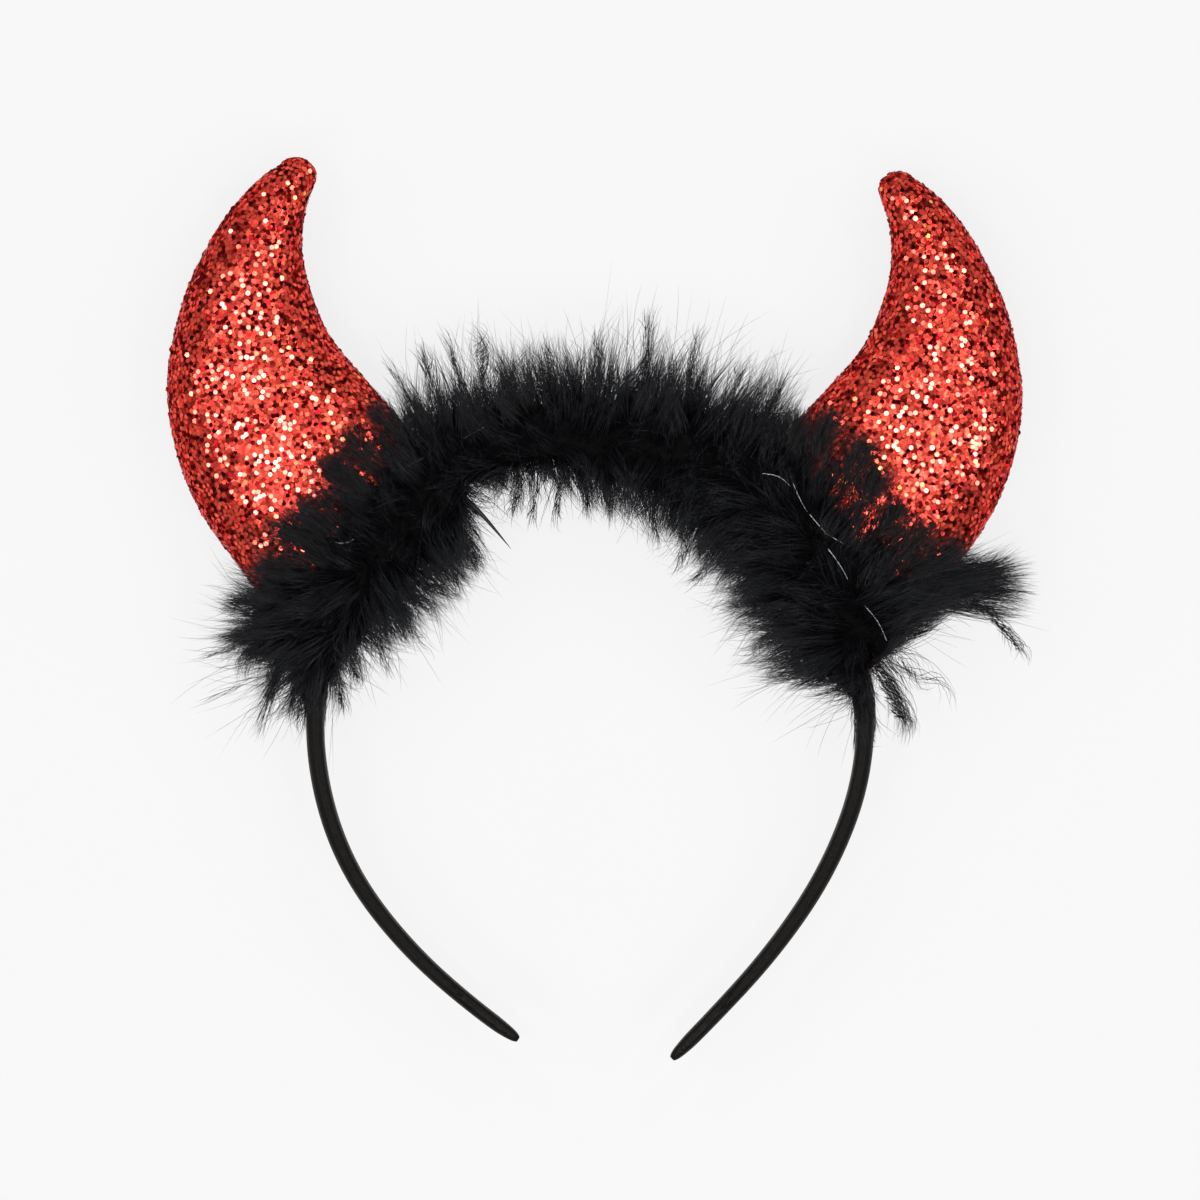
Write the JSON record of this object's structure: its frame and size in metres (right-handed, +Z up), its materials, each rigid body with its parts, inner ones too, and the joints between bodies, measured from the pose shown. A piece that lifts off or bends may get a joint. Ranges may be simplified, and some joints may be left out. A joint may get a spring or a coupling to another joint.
{
  "type": "devil horns headband",
  "caption": "Satin-covered arch headband with two curved glitter horns seated on it and a marabou feather trim wound along its crown.",
  "frame": {"origin": "centre of the bounding box's bottom, on the surface that the headband lies on", "axes": "+Y from the arms' tips towards the horns' tips, +X to the right with the front facing up, +Z up out of the headband's front"},
  "size_m": [0.2052, 0.2122, 0.0442],
  "materials": {
    "satin": "black satin ribbon with a soft sheen",
    "glitter": "chunky hexagonal metallic glitter set in clear varnish",
    "marabou": "soft black down, matte with fine loose barbs"
  },
  "bodies": {
    "root": {"headband": "satin", "left_horn": "glitter", "right_horn": "glitter", "feather_trim": "marabou"}
  },
  "joints": []
}
